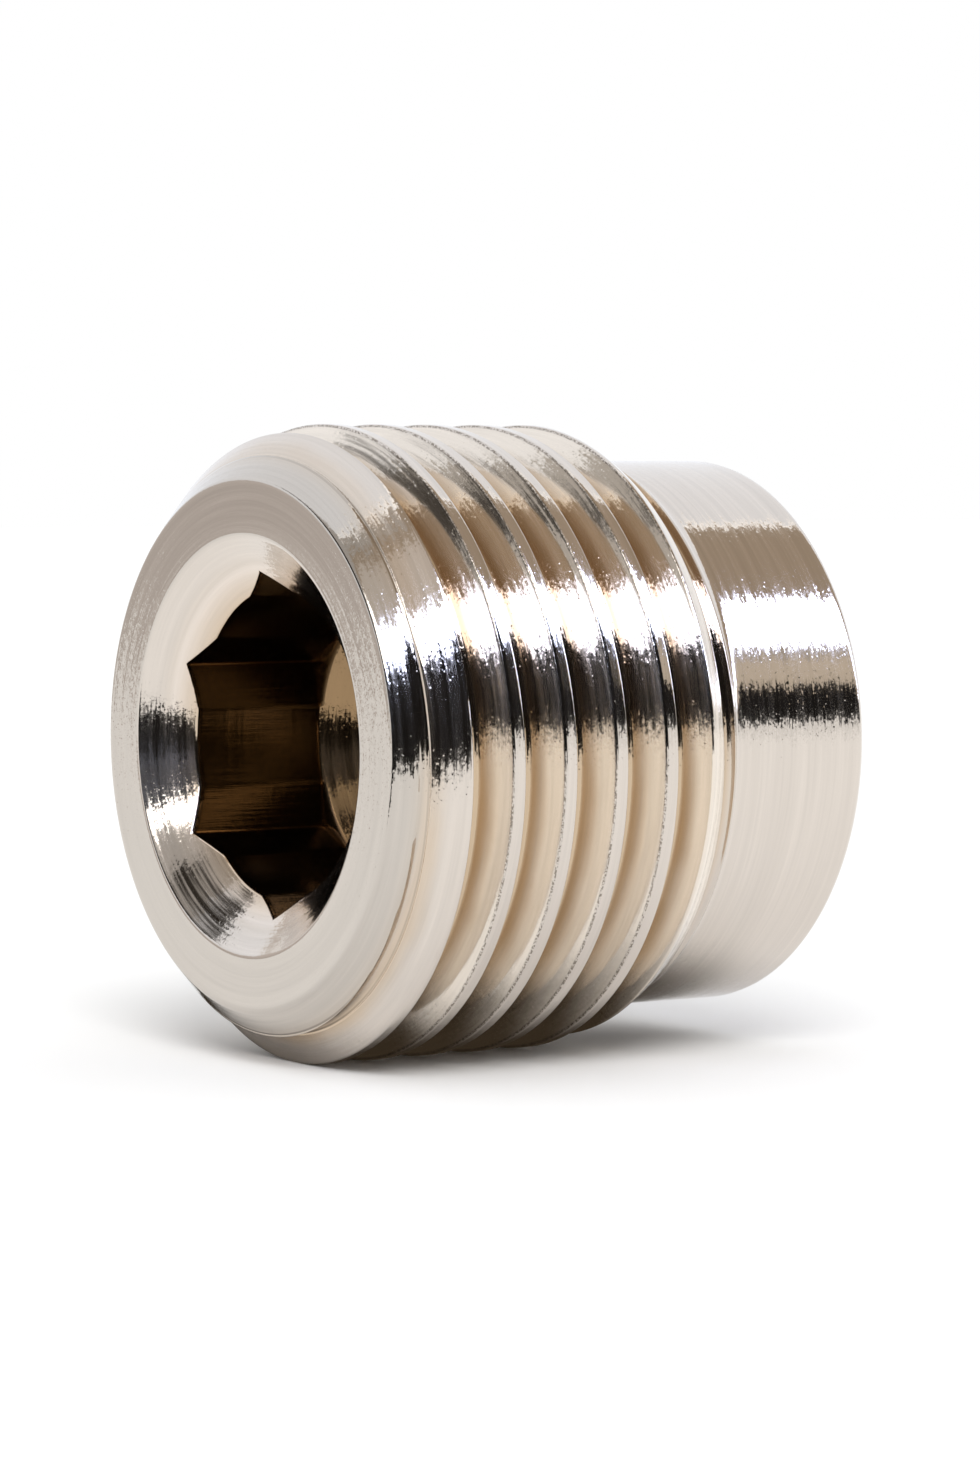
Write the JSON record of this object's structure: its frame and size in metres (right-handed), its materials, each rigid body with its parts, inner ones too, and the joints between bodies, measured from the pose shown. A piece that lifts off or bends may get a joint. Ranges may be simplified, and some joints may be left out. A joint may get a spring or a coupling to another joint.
{
  "type": "hex socket plug",
  "caption": "Externally threaded closing plug with a hexagon socket, a chamfer at each end of the thread and a plain spigot at the inner end.",
  "frame": {"origin": "centre of the flat end of the spigot, at the lowest point of the standing plug", "axes": "+Z along the plug's axis, from the spigot towards the hexagon socket; two corners of the hexagon lie on the X axis"},
  "size_m": [0.0096, 0.0096, 0.0085],
  "materials": {
    "nickel_plated_brass": "turned brass under bright nickel plating, with fine turning marks and browner thread roots and socket"
  },
  "bodies": {
    "root": {"hex_socket_plug": "nickel_plated_brass"}
  },
  "joints": []
}
